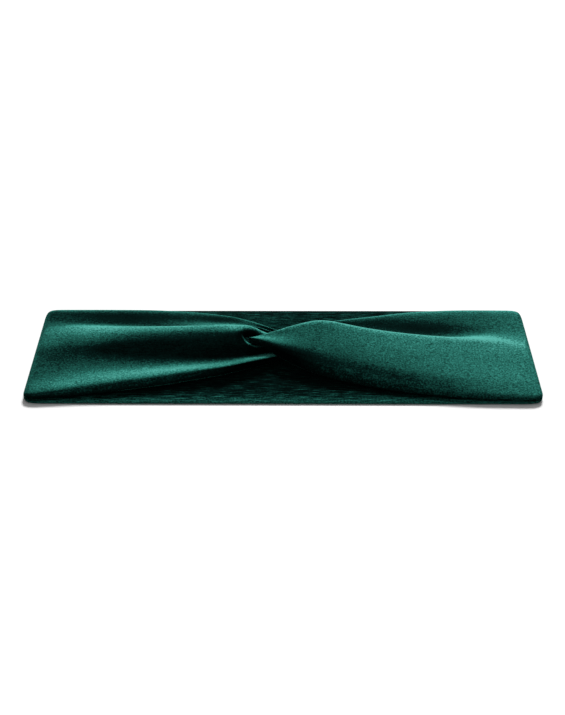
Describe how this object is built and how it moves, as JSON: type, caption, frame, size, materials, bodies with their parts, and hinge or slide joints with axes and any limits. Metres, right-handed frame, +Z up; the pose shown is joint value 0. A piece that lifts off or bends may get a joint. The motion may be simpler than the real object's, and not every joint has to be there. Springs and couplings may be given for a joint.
{
  "type": "knotted headband",
  "caption": "Wide stretch velvet headband with a clasped twist at the front, lying flat; the loop opens to a ring.",
  "frame": {"origin": "on the surface that the flat band lies on, below the middle of its outline", "axes": "+X along the flat loop, +Y towards the far long edge, +Z up out of the knot"},
  "size_m": [0.24, 0.095, 0.0142],
  "materials": {
    "velvet_outer": "deep green stretch velvet, pile outwards",
    "velvet_inner": "deep green stretch velvet, pile towards the head",
    "velvet_knot": "deep green stretch velvet, folded and clasped",
    "seam_thread": "matte polyester thread in the velvet's colour"
  },
  "bodies": {
    "back_centre": {"back_centre_outer_cloth": "velvet_outer", "back_centre_inner_cloth": "velvet_inner", "back_centre_seam_thread": "seam_thread"},
    "back_left": {"back_left_outer_cloth": "velvet_outer", "back_left_inner_cloth": "velvet_inner", "back_left_seam_thread": "seam_thread"},
    "left_rear_side": {"left_rear_side_outer_cloth": "velvet_outer", "left_rear_side_inner_cloth": "velvet_inner", "left_rear_side_seam_thread": "seam_thread", "left_end_outer_cloth": "velvet_outer", "left_end_inner_cloth": "velvet_inner"},
    "left_front_side": {"left_front_side_outer_cloth": "velvet_outer", "left_front_side_inner_cloth": "velvet_inner", "left_front_side_seam_thread": "seam_thread"},
    "front_left": {"front_left_outer_cloth": "velvet_outer", "front_left_inner_cloth": "velvet_inner", "front_left_seam_thread": "seam_thread"},
    "back_right": {"back_right_outer_cloth": "velvet_outer", "back_right_inner_cloth": "velvet_inner", "back_right_seam_thread": "seam_thread"},
    "right_rear_side": {"right_rear_side_outer_cloth": "velvet_outer", "right_rear_side_inner_cloth": "velvet_inner", "right_rear_side_seam_thread": "seam_thread", "right_end_outer_cloth": "velvet_outer", "right_end_inner_cloth": "velvet_inner"},
    "right_front_side": {"right_front_side_outer_cloth": "velvet_outer", "right_front_side_inner_cloth": "velvet_inner", "right_front_side_seam_thread": "seam_thread"},
    "front_right": {"front_right_outer_cloth": "velvet_outer", "front_right_inner_cloth": "velvet_inner", "front_right_seam_thread": "seam_thread"},
    "knot_left": {"left_knot_fold": "velvet_knot", "closing_seam_thread": "seam_thread"},
    "knot_right": {"right_knot_fold": "velvet_knot"}
  },
  "joints": [
    {"name": "left_back_bend", "type": "hinge", "parent": "back_centre", "child": "back_left", "pos_m": [-0.02357, 0, 0.00215], "axis": [0, 1, 0], "range_deg": [0, 36]},
    {"name": "left_rear_side_bend", "type": "hinge", "parent": "back_left", "child": "left_rear_side", "pos_m": [-0.07071, 0, 0.00215], "axis": [0, 1, 0], "range_deg": [0, 36]},
    {"name": "left_end_fold", "type": "hinge", "parent": "left_rear_side", "child": "left_front_side", "pos_m": [-0.11785, 0, 0.00215], "axis": [0, -1, 0], "range_deg": [0, 144], "deforming": ["left_end_outer_cloth", "left_end_inner_cloth"]},
    {"name": "left_front_bend", "type": "hinge", "parent": "left_front_side", "child": "front_left", "pos_m": [-0.07071, 0, 0.00215], "axis": [0, 1, 0], "range_deg": [0, 36]},
    {"name": "left_knot_bend", "type": "hinge", "parent": "front_left", "child": "knot_left", "pos_m": [-0.02357, 0, 0.00215], "axis": [0, 1, 0], "range_deg": [0, 36]},
    {"name": "right_back_bend", "type": "hinge", "parent": "back_centre", "child": "back_right", "pos_m": [0.02357, 0, 0.00215], "axis": [0, -1, 0], "range_deg": [0, 36]},
    {"name": "right_rear_side_bend", "type": "hinge", "parent": "back_right", "child": "right_rear_side", "pos_m": [0.07071, 0, 0.00215], "axis": [0, -1, 0], "range_deg": [0, 36]},
    {"name": "right_end_fold", "type": "hinge", "parent": "right_rear_side", "child": "right_front_side", "pos_m": [0.11785, 0, 0.00215], "axis": [0, 1, 0], "range_deg": [0, 144], "deforming": ["right_end_outer_cloth", "right_end_inner_cloth"]},
    {"name": "right_front_bend", "type": "hinge", "parent": "right_front_side", "child": "front_right", "pos_m": [0.07071, 0, 0.00215], "axis": [0, -1, 0], "range_deg": [0, 36]},
    {"name": "right_knot_bend", "type": "hinge", "parent": "front_right", "child": "knot_right", "pos_m": [0.02357, 0, 0.00215], "axis": [0, -1, 0], "range_deg": [0, 36]}
  ],
  "couplings": [
    {"joint": "left_rear_side_bend", "follows": "left_back_bend", "ratio": 1},
    {"joint": "left_end_fold", "follows": "left_back_bend", "ratio": 4},
    {"joint": "left_front_bend", "follows": "left_back_bend", "ratio": 1},
    {"joint": "left_knot_bend", "follows": "left_back_bend", "ratio": 1},
    {"joint": "right_back_bend", "follows": "left_back_bend", "ratio": 1},
    {"joint": "right_rear_side_bend", "follows": "left_back_bend", "ratio": 1},
    {"joint": "right_end_fold", "follows": "left_back_bend", "ratio": 4},
    {"joint": "right_front_bend", "follows": "left_back_bend", "ratio": 1},
    {"joint": "right_knot_bend", "follows": "left_back_bend", "ratio": 1}
  ]
}
